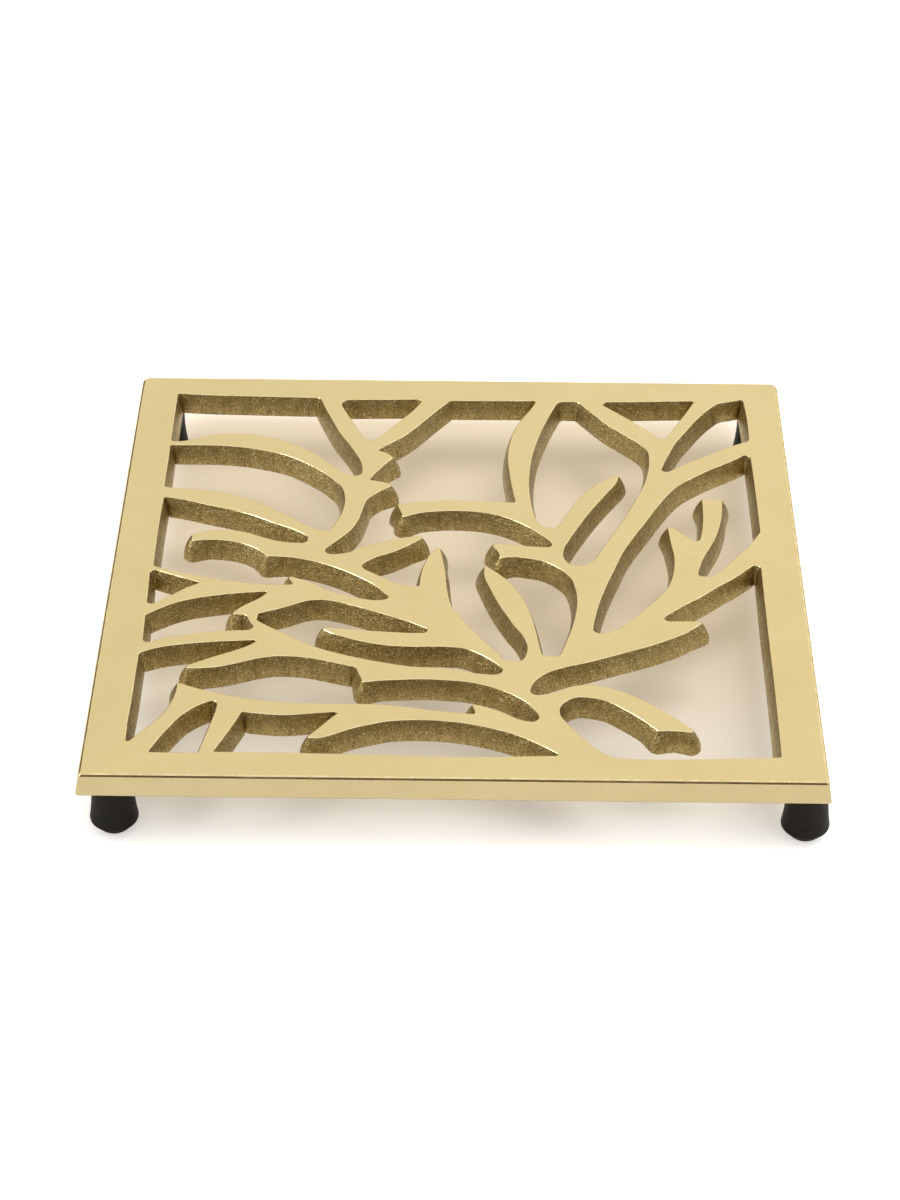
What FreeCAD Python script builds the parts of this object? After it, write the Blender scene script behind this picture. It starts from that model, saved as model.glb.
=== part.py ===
import FreeCAD, Part
import math
import os

# A square cast-brass trivet. A flat rim frames a pierced pattern of leaves and stalks, and a
# brass peg under each corner carries a push-on rubber foot.
# Millimetres, +Z up. The origin lies on the table, under the middle of the plate.

Vector = FreeCAD.Vector

# Plate, measured across its top before the polished edge is taken off
plate_width = 200.0
plate_depth = 200.0
plate_thickness = 6.4
side_border = 11.3
rear_border = 11.3
front_border = 10.0
rear_corner_radius = 2.2
front_corner_radius = 0.8

# Casting draft, as the set-back from top to underside, and the polished bevel round the rim
outer_draft = 1.0
opening_draft = 1.5
rim_bevel = 0.5

# Radii at the corners of the openings, seen from above. Crisp ones are cut straight across.
crisp_radius = 0.6
soft_radius = 1.5
wide_radius = 2.6

# Insets of the legs from the front and rear of the plate, and of each leg from its side
end_inset = 7.5
front_left_inset = 8.0
front_right_inset = 4.6
rear_left_inset = 7.3
rear_right_inset = 6.5

# Brass pegs, each with a spigot pressed into a blind hole in the plate
peg_diameter = 7.6
peg_length = 12.5
spigot_diameter = 5.0
spigot_length = 3.6
spigot_clearance = 0.1
spigot_end_clearance = 0.3

# Rubber feet, straight above the belly and tapered below it
foot_height = 17.0
foot_diameter = 13.4
foot_belly_height = 2.5
foot_base_diameter = 9.4
foot_bore_clearance = 0.05
foot_bore_end_clearance = 0.3

# How finely the outlines are followed, and how far the cutters run past the plate
station_pitch = 1.0
stations_per_point = 3
outline_tolerance = 0.05
cutter_overrun = 0.3
longest_corner_share = 0.45

# The four legs, each with its signs across and along and its inset from the side
LEGS = {
    "front_left": (-1, -1, front_left_inset),
    "front_right": (1, -1, front_right_inset),
    "rear_left": (-1, 1, rear_left_inset),
    "rear_right": (1, 1, rear_right_inset),
}

# The openings, each a ring of runs that goes clockwise seen from above. A run holds the radius
# of its first corner, that corner, and the points which a smooth curve passes on the way to the
# next corner. Points are shares of the window inside the rim, from the left and from the front.
CRISP = crisp_radius
SOFT = soft_radius
WIDE = wide_radius

opening_shares = {
    "rear_left_pane": [
        (CRISP, (0.001, 1.011), (0.060, 1.0065), (0.130, 1.0045)),
        (SOFT, (0.2535, 1.0015), (0.270, 0.950), (0.294, 0.886), (0.3185, 0.834),
         (0.3330, 0.793)),
        (WIDE, (0.3340, 0.7455), (0.296, 0.7736), (0.265, 0.810), (0.220, 0.847),
         (0.170, 0.8725), (0.114, 0.8830), (0.069, 0.877), (0.037, 0.8620), (0.020, 0.8575)),
        (SOFT, (0.001, 0.8560)),
    ],
    "rear_left_triangle": [
        (WIDE, (0.286, 0.9955), (0.360, 0.9975)),
        (SOFT, (0.438, 1.0005), (0.4154, 0.9575), (0.385, 0.911)),
        (WIDE, (0.3456, 0.8504), (0.3245, 0.899)),
    ],
    "central_opening": [
        (SOFT, (0.483, 0.9965), (0.544, 0.997)),
        (CRISP, (0.636, 0.998), (0.625, 0.970), (0.609, 0.937), (0.5954, 0.8986),
         (0.587, 0.854), (0.5843, 0.809), (0.587, 0.765), (0.5915, 0.720)),
        (CRISP, (0.597, 0.6800), (0.5436, 0.681), (0.485, 0.684), (0.440, 0.680)),
        (CRISP, (0.3975, 0.6695), (0.4035, 0.651)),
        (CRISP, (0.408, 0.6335), (0.4314, 0.6445), (0.467, 0.652), (0.510, 0.6535),
         (0.5436, 0.649), (0.5757, 0.638), (0.606, 0.6186), (0.633, 0.5936), (0.649, 0.575)),
        (SOFT, (0.6585, 0.5495), (0.615, 0.5525), (0.584, 0.557)),
        (CRISP, (0.5565, 0.5575), (0.5655, 0.540)),
        (CRISP, (0.5708, 0.5178), (0.588, 0.522), (0.615, 0.518), (0.643, 0.5095),
         (0.668, 0.490), (0.683, 0.4695), (0.6915, 0.4400), (0.6945, 0.403), (0.692, 0.367),
         (0.684, 0.3225), (0.6740, 0.285)),
        (SOFT, (0.6640, 0.2515)),
        (SOFT, (0.6370, 0.2515), (0.6325, 0.280), (0.6266, 0.3225), (0.6175, 0.3700),
         (0.6036, 0.4136), (0.5864, 0.4485), (0.5668, 0.475)),
        (CRISP, (0.5460, 0.4960), (0.5443, 0.470), (0.5525, 0.4370), (0.566, 0.3960),
         (0.5864, 0.3457), (0.607, 0.303), (0.6132, 0.277)),
        (SOFT, (0.6060, 0.2395)),
        (WIDE, (0.5790, 0.2395), (0.5614, 0.265), (0.5346, 0.3064), (0.508, 0.350),
         (0.4930, 0.381), (0.4845, 0.427), (0.4805, 0.480)),
        (CRISP, (0.4705, 0.5485), (0.4564, 0.529), (0.4470, 0.500)),
        (CRISP, (0.4395, 0.4370), (0.4225, 0.4365), (0.399, 0.4457), (0.3734, 0.464)),
        (WIDE, (0.3384, 0.4904), (0.3600, 0.5120), (0.3957, 0.533), (0.4225, 0.555)),
        (CRISP, (0.4450, 0.5775), (0.4136, 0.574), (0.378, 0.5605), (0.342, 0.5445),
         (0.3225, 0.5300), (0.3064, 0.5250)),
        (WIDE, (0.2697, 0.5245), (0.301, 0.565), (0.3225, 0.595), (0.3335, 0.624),
         (0.3404, 0.658), (0.3457, 0.683), (0.360, 0.7025)),
        (CRISP, (0.3870, 0.7265), (0.378, 0.7350), (0.366, 0.739)),
        (CRISP, (0.3490, 0.7435), (0.3545, 0.758), (0.367, 0.7807), (0.3796, 0.802)),
        (CRISP, (0.3870, 0.8125), (0.3820, 0.8210)),
        (CRISP, (0.3600, 0.8345), (0.378, 0.8550), (0.3957, 0.8710), (0.4225, 0.905),
         (0.449, 0.946)),
    ],
    "bud_opening": [
        (WIDE, (0.6737, 0.997)),
        (WIDE, (0.7094, 0.997), (0.731, 0.963), (0.758, 0.9245), (0.791, 0.888),
         (0.8135, 0.862), (0.8250, 0.840), (0.827, 0.8146), (0.8245, 0.7825),
         (0.8165, 0.741), (0.802, 0.697), (0.781, 0.640), (0.754, 0.579), (0.735, 0.536),
         (0.7215, 0.508), (0.7025, 0.498), (0.685, 0.504), (0.6752, 0.522),
         (0.6752, 0.542), (0.685, 0.572), (0.7025, 0.613), (0.724, 0.6596), (0.7500, 0.7085),
         (0.768, 0.7425)),
        (CRISP, (0.7735, 0.7690), (0.754, 0.754), (0.736, 0.737), (0.712, 0.706),
         (0.692, 0.667), (0.678, 0.6346)),
        (SOFT, (0.6659, 0.605), (0.652, 0.6060), (0.640, 0.6135), (0.6315, 0.630),
         (0.6255, 0.660), (0.6205, 0.715), (0.6215, 0.775), (0.6257, 0.818),
         (0.634, 0.863), (0.649, 0.922)),
    ],
    "rear_right_triangle": [
        (SOFT, (0.7405, 0.9975), (0.816, 0.999), (0.879, 1.002)),
        (CRISP, (0.9155, 1.003), (0.895, 0.9575), (0.872, 0.9075)),
        (SOFT, (0.8548, 0.8730), (0.825, 0.909), (0.7896, 0.9486)),
    ],
    "rear_right_sliver": [
        (CRISP, (1.000, 1.0095), (1.0027, 0.966), (1.0036, 0.913)),
        (SOFT, (1.003, 0.8765), (0.975, 0.861), (0.938, 0.836), (0.895, 0.806)),
        (SOFT, (0.8406, 0.7619), (0.8500, 0.796), (0.861, 0.829), (0.875, 0.867),
         (0.895, 0.905), (0.916, 0.944), (0.937, 0.975), (0.9540, 0.994), (0.977, 1.002)),
    ],
    "right_stalk_opening": [
        (SOFT, (1.002, 0.8415), (1.003, 0.765), (1.0036, 0.680)),
        (CRISP, (1.0035, 0.600), (0.9825, 0.5596), (0.955, 0.520), (0.933, 0.4890)),
        (SOFT, (0.9165, 0.4715)),
        (SOFT, (0.8925, 0.4725), (0.904, 0.520), (0.927, 0.579), (0.939, 0.626)),
        (CRISP, (0.9448, 0.6955)),
        (CRISP, (0.9115, 0.6955), (0.911, 0.651), (0.908, 0.6096)),
        (SOFT, (0.9002, 0.5632), (0.877, 0.589)),
        (CRISP, (0.8590, 0.6115)),
        (CRISP, (0.8500, 0.6105), (0.853, 0.5686), (0.857, 0.524), (0.8557, 0.495),
         (0.8505, 0.464), (0.842, 0.437), (0.825, 0.409), (0.7986, 0.3716), (0.772, 0.3386),
         (0.750, 0.3195)),
        (WIDE, (0.7168, 0.3115), (0.723, 0.3564), (0.7325, 0.403), (0.7436, 0.444),
         (0.758, 0.490), (0.7735, 0.538), (0.793, 0.583), (0.8135, 0.6255),
         (0.8335, 0.6675), (0.8557, 0.7096), (0.8735, 0.7355), (0.8986, 0.7596),
         (0.9325, 0.787), (0.963, 0.809)),
    ],
    "lower_right_opening": [
        (SOFT, (0.9985, 0.521), (0.997, 0.350), (0.997, 0.166)),
        (CRISP, (0.9955, 0.004), (0.9414, 0.001), (0.879, -0.002), (0.8164, -0.004),
         (0.765, -0.003), (0.742, 0.0005), (0.724, 0.012), (0.697, 0.045), (0.675, 0.079),
         (0.6630, 0.103), (0.6630, 0.122), (0.6725, 0.1375), (0.691, 0.1475),
         (0.710, 0.1465), (0.738, 0.137), (0.763, 0.117)),
        (CRISP, (0.8120, 0.0655), (0.838, 0.066)),
        (CRISP, (0.8700, 0.0615), (0.8575, 0.077), (0.827, 0.110), (0.793, 0.140),
         (0.759, 0.1630), (0.731, 0.1755), (0.704, 0.179), (0.6800, 0.1735),
         (0.6507, 0.157)),
        (WIDE, (0.6165, 0.1500), (0.623, 0.1845), (0.6400, 0.206), (0.6686, 0.222),
         (0.704, 0.235), (0.7557, 0.2575), (0.813, 0.284), (0.859, 0.312)),
        (CRISP, (0.8965, 0.3480), (0.8670, 0.3480)),
        (SOFT, (0.8225, 0.3470), (0.861, 0.386), (0.897, 0.417), (0.928, 0.447),
         (0.9490, 0.466)),
    ],
    "upper_left_opening": [
        (CRISP, (0.0015, 0.8450), (0.0514, 0.8455), (0.087, 0.845), (0.123, 0.841),
         (0.1675, 0.830), (0.2125, 0.8115), (0.2496, 0.7835), (0.2825, 0.7505),
         (0.302, 0.7205), (0.309, 0.683), (0.306, 0.648), (0.2975, 0.615)),
        (WIDE, (0.2853, 0.5858), (0.2546, 0.6016), (0.2190, 0.6310), (0.185, 0.6575),
         (0.1496, 0.680), (0.114, 0.6965), (0.078, 0.7055), (0.0336, 0.7114)),
        (SOFT, (0.0015, 0.7160), (0.0015, 0.780)),
    ],
    "left_leaf_opening": [
        (CRISP, (0.0035, 0.6860), (0.039, 0.678), (0.087, 0.661), (0.123, 0.649),
         (0.1586, 0.633), (0.194, 0.612), (0.226, 0.595)),
        (SOFT, (0.2515, 0.5745)),
        (SOFT, (0.2515, 0.5550), (0.2265, 0.5555), (0.203, 0.5596), (0.176, 0.5705),
         (0.150, 0.5830), (0.129, 0.589), (0.103, 0.590), (0.080, 0.5855)),
        (CRISP, (0.0593, 0.5735)),
        (CRISP, (0.0597, 0.5580), (0.087, 0.562), (0.114, 0.5603), (0.141, 0.5535),
         (0.1625, 0.542), (0.1785, 0.5285)),
        (CRISP, (0.1885, 0.5175), (0.221, 0.515), (0.2475, 0.509), (0.276, 0.499),
         (0.3064, 0.484), (0.3386, 0.462), (0.3655, 0.4395), (0.3800, 0.4225)),
        (SOFT, (0.3935, 0.4020), (0.370, 0.3965), (0.3457, 0.401), (0.3207, 0.409),
         (0.2905, 0.423), (0.262, 0.4435)),
        (CRISP, (0.2225, 0.4620), (0.230, 0.448)),
        (CRISP, (0.2345, 0.4375), (0.1996, 0.4364), (0.150, 0.442), (0.105, 0.452),
         (0.060, 0.4645)),
        (SOFT, (0.0030, 0.4855), (0.002, 0.560)),
    ],
    "left_small_triangle": [
        (SOFT, (-0.0015, 0.4785), (0.030, 0.4645), (0.0568, 0.452)),
        (CRISP, (0.0840, 0.4400), (0.060, 0.4234), (0.035, 0.4005)),
        (SOFT, (0.0015, 0.3705)),
    ],
    "lower_left_leaf_opening": [
        (SOFT, (0.0015, 0.3500), (0.0264, 0.370), (0.0514, 0.386), (0.080, 0.3975),
         (0.112, 0.4055), (0.150, 0.413)),
        (CRISP, (0.1960, 0.4175), (0.1785, 0.3955), (0.1586, 0.379)),
        (CRISP, (0.1405, 0.3565)),
        (SOFT, (0.1640, 0.3530), (0.1695, 0.337)),
        (SOFT, (0.1865, 0.3120), (0.141, 0.3105), (0.105, 0.3055), (0.069, 0.298),
         (0.0336, 0.287)),
        (SOFT, (0.004, 0.2705)),
    ],
    "lower_left_opening": [
        (SOFT, (0.0003, 0.2490), (0.030, 0.2637), (0.0657, 0.2732), (0.105, 0.2795),
         (0.150, 0.284)),
        (CRISP, (0.1880, 0.2865), (0.1675, 0.268), (0.150, 0.2575), (0.116, 0.2395)),
        (CRISP, (0.0725, 0.2130), (0.096, 0.2116), (0.128, 0.2157), (0.1586, 0.2264),
         (0.185, 0.237), (0.212, 0.2443), (0.241, 0.2448), (0.271, 0.2407), (0.3064, 0.230)),
        (CRISP, (0.3430, 0.2185)),
        (CRISP, (0.356, 0.1805), (0.378, 0.184), (0.4136, 0.187), (0.449, 0.1895),
         (0.485, 0.1875), (0.5257, 0.182), (0.5614, 0.169), (0.590, 0.152),
         (0.6096, 0.1345), (0.6225, 0.116)),
        (WIDE, (0.6330, 0.0850), (0.611, 0.0860), (0.597, 0.0916), (0.5757, 0.105),
         (0.5436, 0.122)),
        (CRISP, (0.5245, 0.1285), (0.530, 0.114)),
        (CRISP, (0.5320, 0.1020), (0.508, 0.1045), (0.4636, 0.111), (0.4225, 0.119),
         (0.378, 0.1240), (0.324, 0.1245), (0.262, 0.125), (0.212, 0.1286), (0.1586, 0.140),
         (0.1123, 0.1546), (0.0907, 0.163)),
        (CRISP, (0.0670, 0.1745), (0.0666, 0.153), (0.062, 0.126), (0.053, 0.098),
         (0.037, 0.070), (0.0193, 0.0465)),
        (CRISP, (0.001, 0.0200), (-0.001, 0.0586), (0.0, 0.130), (0.0003, 0.190)),
    ],
    "middle_leaf_opening": [
        (CRISP, (0.1825, 0.3575), (0.203, 0.366), (0.230, 0.378), (0.2540, 0.3915),
         (0.280, 0.3965), (0.3064, 0.392), (0.342, 0.378), (0.378, 0.3620),
         (0.4136, 0.345), (0.435, 0.3335)),
        (SOFT, (0.4690, 0.3105), (0.4225, 0.3095), (0.387, 0.312), (0.342, 0.316),
         (0.3064, 0.320)),
        (CRISP, (0.2820, 0.3235), (0.2975, 0.310), (0.328, 0.295), (0.3564, 0.284),
         (0.392, 0.276), (0.4314, 0.2734), (0.488, 0.2738), (0.515, 0.2695),
         (0.540, 0.2545), (0.5614, 0.235)),
        (WIDE, (0.5830, 0.2025), (0.558, 0.2025), (0.5345, 0.2052), (0.508, 0.2125),
         (0.4725, 0.2187), (0.4314, 0.221), (0.3957, 0.2286), (0.360, 0.2382),
         (0.324, 0.250), (0.292, 0.2627), (0.262, 0.279), (0.230, 0.302), (0.2000, 0.3235)),
        (SOFT, (0.1800, 0.3400)),
    ],
    "front_left_sliver": [
        (CRISP, (0.0365, 0.0005), (0.045, 0.023), (0.063, 0.062), (0.0836, 0.097),
         (0.105, 0.1175)),
        (SOFT, (0.1330, 0.1330), (0.132, 0.107), (0.1275, 0.080), (0.1195, 0.0375)),
        (CRISP, (0.112, -0.0005)),
    ],
    "front_opening": [
        (CRISP, (0.1345, 0.003), (0.155, 0.055)),
        (CRISP, (0.1725, 0.1025), (0.203, 0.0975), (0.239, 0.095), (0.271, 0.0987),
         (0.299, 0.1025)),
        (CRISP, (0.3240, 0.1045), (0.3125, 0.0915), (0.2957, 0.068)),
        (CRISP, (0.2750, 0.0410), (0.293, 0.0403), (0.3154, 0.0490), (0.342, 0.063),
         (0.3707, 0.074), (0.3957, 0.0820), (0.4225, 0.0855), (0.458, 0.0862),
         (0.508, 0.081), (0.5614, 0.0657), (0.6007, 0.0485), (0.6257, 0.0327)),
        (CRISP, (0.6620, 0.0025), (0.615, 0.0005), (0.5614, -0.002), (0.500, -0.0025),
         (0.378, 0.0005), (0.267, 0.0022)),
    ],
}

# Heights over the table
underside_z = foot_height
top_z = underside_z + plate_thickness
rim_shoulder_z = top_z - rim_bevel

# The window inside the rim
half_width = plate_width / 2
half_depth = plate_depth / 2
window_left = side_border - half_width
window_front = front_border - half_depth
window_width = plate_width - 2 * side_border
window_depth = plate_depth - front_border - rear_border

# Opening walls slope all the way, so the cutters go on sloping past both faces of the plate
draft_slope = opening_draft / plate_thickness
cutter_levels = [
    (underside_z - cutter_overrun, opening_draft + draft_slope * cutter_overrun),
    (top_z + cutter_overrun, -draft_slope * cutter_overrun),
]


def window_point(share):
    """Return the point in the plan for a pair of shares of the window."""
    across, along = share
    return Vector(window_left + across * window_width, window_front + along * window_depth, 0)


def smooth_edge(points):
    """Return a straight edge through two points or a smooth one through more."""
    if len(points) == 2:
        return Part.makeLine(points[0], points[1])
    curve = Part.BSplineCurve()
    curve.interpolate(points)
    return curve.toShape()


def fitted_edge(points):
    """Return a light smooth edge that keeps to a close chain of points."""
    if len(points) == 2:
        return Part.makeLine(points[0], points[1])
    curve = Part.BSplineCurve()
    curve.approximate(Points=points, DegMin=3, DegMax=3, Tolerance=outline_tolerance)
    return curve.toShape()


def stations_along(edge):
    """Return evenly spaced pairs of a point and a direction along an edge."""
    count = max(math.ceil(edge.Length / station_pitch), stations_per_point)
    points = edge.discretize(count + 1)
    return [(point, edge.tangentAt(edge.Curve.parameter(point))) for point in points]


def right_of(direction):
    """Return the direction to the right, which is the inside of a clockwise ring."""
    return Vector(direction.y, -direction.x, 0)


def set_back(runs, distance):
    """Shift the stations of a ring inwards and leave out those that come too near its edge."""
    if distance <= 0:
        return [[(p + right_of(d) * distance, d) for p, d in run] for run in runs]
    outline = [point for run in runs for point, direction in run]
    nearest = distance * distance - station_pitch * station_pitch / 4
    shifted = []
    for run in runs:
        kept = []
        for point, direction in run:
            place = point + right_of(direction) * distance
            if all((place - other).Length ** 2 > nearest for other in outline):
                kept.append((place, direction))
        shifted.append(kept)
    return shifted


def crossing(start, end, other_start, other_end):
    """Return where two straight pieces in the plan cross, or nothing where they don't."""
    step = end - start
    other_step = other_end - other_start
    area = step.cross(other_step).z
    if area == 0:
        return None
    share = (other_start - start).cross(other_step).z / area
    other_share = (other_start - start).cross(step).z / area
    if min(share, other_share) < 0 or max(share, other_share) > 1:
        return None
    return start + step * share


def corner_between(before, after):
    """Cut two shifted runs back to where they cross, and return the corner between them."""
    for row in range(len(before) - 1, 0, -1):
        for column in range(len(after) - 1):
            place = crossing(before[row - 1][0], before[row][0],
                             after[column][0], after[column + 1][0])
            if place is not None:
                del before[row:]
                del after[:column + 1]
                return place
    (place, direction), (other, heading) = before[-1], after[0]
    area = direction.cross(heading).z
    return place + direction * ((other - place).cross(heading).z / area)


def point_along(points, distance):
    """Return the point that lies a distance along a chain of points."""
    for start, end in zip(points, points[1:]):
        step = (end - start).Length
        if distance <= step:
            return start + (end - start) * (distance / step)
        distance -= step
    return points[-1]


def chain_length(points):
    """Return the length of a chain of points."""
    return sum((end - start).Length for start, end in zip(points, points[1:]))


def corner_edge(before, after, radius):
    """Return the corner from one edge to the next, rounded where it isn't a crisp one."""
    start = before.valueAt(before.LastParameter)
    end = after.valueAt(after.FirstParameter)
    if radius <= crisp_radius:
        return Part.makeLine(start, end)
    heading = before.tangentAt(before.LastParameter)
    leaving = after.tangentAt(after.FirstParameter)
    rise = (end - start).Length / 2 * math.tan(heading.getAngle(leaving) / 4)
    middle = (start + end) / 2 + (heading - leaving).normalize() * rise
    return Part.Arc(start, middle, end).toShape()


def ring_wire(runs, radii, distance, height):
    """Return the outline of an opening at one height, set back and with its corners rounded."""
    shifted = set_back(runs, distance)
    count = len(runs)
    corners = []
    cuts = []
    for index in range(count):
        before = shifted[index - 1]
        after = shifted[index]
        corners.append(corner_between(before, after))
        outward = before[-1][1].cross(after[0][1]).z > 0
        radius = radii[index] + max(distance, 0) * outward
        cuts.append(radius * math.tan(before[-1][1].getAngle(after[0][1]) / 2))
    sides = []
    for index, run in enumerate(shifted):
        follower = (index + 1) % count
        points = [corners[index]] + [place for place, direction in run] + [corners[follower]]
        length = chain_length(points)
        first = min(cuts[index], length * longest_corner_share)
        last = length - min(cuts[follower], length * longest_corner_share)
        spans = max(round((last - first) / (station_pitch * stations_per_point)), 1)
        steps = range(spans + 1)
        kept = [point_along(points, first + (last - first) * step / spans) for step in steps]
        sides.append(fitted_edge(kept))
    edges = []
    for index in range(count):
        edges.append(corner_edge(sides[index - 1], sides[index], radii[index]))
        edges.append(sides[index])
    wire = Part.Wire(edges)
    wire.translate(Vector(0, 0, height))
    return wire


def opening_cutter(ring):
    """Return the solid that cuts one opening, sloping inwards to the underside."""
    corners = [window_point(run[1]) for run in ring]
    runs = []
    for index, run in enumerate(ring):
        follower = corners[(index + 1) % len(ring)]
        points = [window_point(share) for share in run[1:]] + [follower]
        runs.append(stations_along(smooth_edge(points)))
    radii = [run[0] for run in ring]
    wires = [ring_wire(runs, radii, distance, height) for height, distance in cutter_levels]
    return Part.makeLoft(wires, True, True)


def rim_wire(growth, height):
    """Return the outline of the plate, grown all round, with its corners rounded."""
    quarter = 90
    arcs = []
    for index, (side, end, radius) in enumerate(rim_corners):
        across = side * (half_width + growth - radius)
        along = end * (half_depth + growth - radius)
        start = (index - 1) * quarter
        centre = Vector(across, along, height)
        arcs.append(Part.makeCircle(radius, centre, Vector(0, 0, 1), start, start + quarter))
    edges = []
    for arc, following in zip(arcs, arcs[1:] + arcs[:1]):
        end = arc.valueAt(arc.LastParameter)
        start = following.valueAt(following.FirstParameter)
        edges.append(arc)
        edges.append(Part.makeLine(end, start))
    return Part.Wire(edges)


def turned(points):
    """Return the solid turned about the Z axis from a closed ring of radius and height pairs."""
    places = [Vector(radius, 0, height) for radius, height in points]
    profile = Part.makePolygon(places + places[:1])
    return Part.Face(profile).revolve(Vector(0, 0, 0), Vector(0, 0, 1), 360)


def rubber_foot():
    """Return one push-on foot, standing on the table and centred on the Z axis."""
    bore_radius = peg_diameter / 2 + foot_bore_clearance
    bore_floor = foot_height - peg_length - foot_bore_end_clearance
    return turned([
        (0, 0),
        (foot_base_diameter / 2, 0),
        (foot_diameter / 2, foot_belly_height),
        (foot_diameter / 2, foot_height),
        (bore_radius, foot_height),
        (bore_radius, bore_floor),
        (0, bore_floor),
    ])


def leg_peg():
    """Return one peg with its spigot, in place over the table and centred on the Z axis."""
    return turned([
        (0, underside_z - peg_length),
        (peg_diameter / 2, underside_z - peg_length),
        (peg_diameter / 2, underside_z),
        (spigot_diameter / 2, underside_z),
        (spigot_diameter / 2, underside_z + spigot_length),
        (0, underside_z + spigot_length),
    ])


def leg_centre(leg):
    """Return the point on the table under one leg, given its side, its end and its inset."""
    side, end, side_inset = leg
    return Vector(side * (half_width - side_inset), end * (half_depth - end_inset), 0)


def trivet_plate():
    """Return the pierced plate with its polished edges and the blind holes for the pegs."""
    rim_levels = [(outer_draft, underside_z), (0, rim_shoulder_z), (-rim_bevel, top_z)]
    plate = Part.makeLoft([rim_wire(growth, height) for growth, height in rim_levels], True, True)
    hole_radius = spigot_diameter / 2 + spigot_clearance
    hole_depth = spigot_length + spigot_end_clearance
    cutters = [opening_cutter(ring) for ring in opening_shares.values()]
    for leg in LEGS.values():
        base = leg_centre(leg) + Vector(0, 0, underside_z)
        cutters.append(Part.makeCylinder(hole_radius, hole_depth, base))
    return plate.cut(cutters)


# The rounded corners of the rim, in their order round it
rim_corners = [
    (1, -1, front_corner_radius),
    (1, 1, rear_corner_radius),
    (-1, 1, rear_corner_radius),
    (-1, -1, front_corner_radius),
]

os.makedirs("parts", exist_ok=True)
trivet_plate().exportStep("parts/trivet_plate.step")
for leg_name, leg in LEGS.items():
    leg_peg().translated(leg_centre(leg)).exportStep(f"parts/leg_peg_{leg_name}.step")
    rubber_foot().translated(leg_centre(leg)).exportStep(f"parts/rubber_foot_{leg_name}.step")
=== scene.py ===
"""A square cast-brass trivet on rubber feet, with its finishes, floor, light and camera."""

import logging
import math
from dataclasses import dataclass, field
from enum import Enum
from typing import ClassVar

import bmesh
import bpy
from mathutils import Matrix, Vector
from mathutils.geometry import interpolate_bezier


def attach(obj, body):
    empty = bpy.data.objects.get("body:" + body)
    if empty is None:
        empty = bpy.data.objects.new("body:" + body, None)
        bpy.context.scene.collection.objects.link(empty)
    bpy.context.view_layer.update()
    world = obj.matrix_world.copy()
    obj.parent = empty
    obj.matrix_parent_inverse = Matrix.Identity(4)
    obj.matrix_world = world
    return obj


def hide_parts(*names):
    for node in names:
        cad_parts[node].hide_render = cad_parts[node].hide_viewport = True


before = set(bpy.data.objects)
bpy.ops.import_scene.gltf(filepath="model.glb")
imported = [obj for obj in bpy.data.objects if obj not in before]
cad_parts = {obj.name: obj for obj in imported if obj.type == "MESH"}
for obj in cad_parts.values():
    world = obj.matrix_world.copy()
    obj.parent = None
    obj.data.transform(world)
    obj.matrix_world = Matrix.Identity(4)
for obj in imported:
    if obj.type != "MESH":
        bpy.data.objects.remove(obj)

LOG = logging.getLogger("trivet")
BODY = "root"
PLATE_NODE = "trivet_plate"
MM = 0.001
WELD_DISTANCE = 0.002 * MM
NO_DISTANCE = 1e-7

Socket = bpy.types.NodeSocket
Colour = tuple[float, float, float]
# A value for each of X, Y and Z
Triple = tuple[float, float, float]
# A low and a high value
Span = tuple[float, float]
# Features in a metre, octaves, and the strength of the fine ones
Grain = tuple[float, float, float]
# A depth in metres and a strength
Relief = tuple[float, float]


class Leg(Enum):
    """The four legs, with their places across and along in millimetres."""

    FRONT_LEFT = (-92.0, -92.5)
    FRONT_RIGHT = (95.4, -92.5)
    REAR_LEFT = (-92.7, 92.5)
    REAR_RIGHT = (93.5, 92.5)

    def place(self, height: float) -> Vector:
        """Return the point at a height on the leg's axis."""
        across, along = self.value
        return Vector((across * MM, along * MM, height))


class PlateFace(Enum):
    """The surfaces of the plate, as the places of their finishes on the piece."""

    TOP = 0
    EDGE = 1
    SIDE = 2
    WALL = 3
    UNDERSIDE = 4


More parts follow.
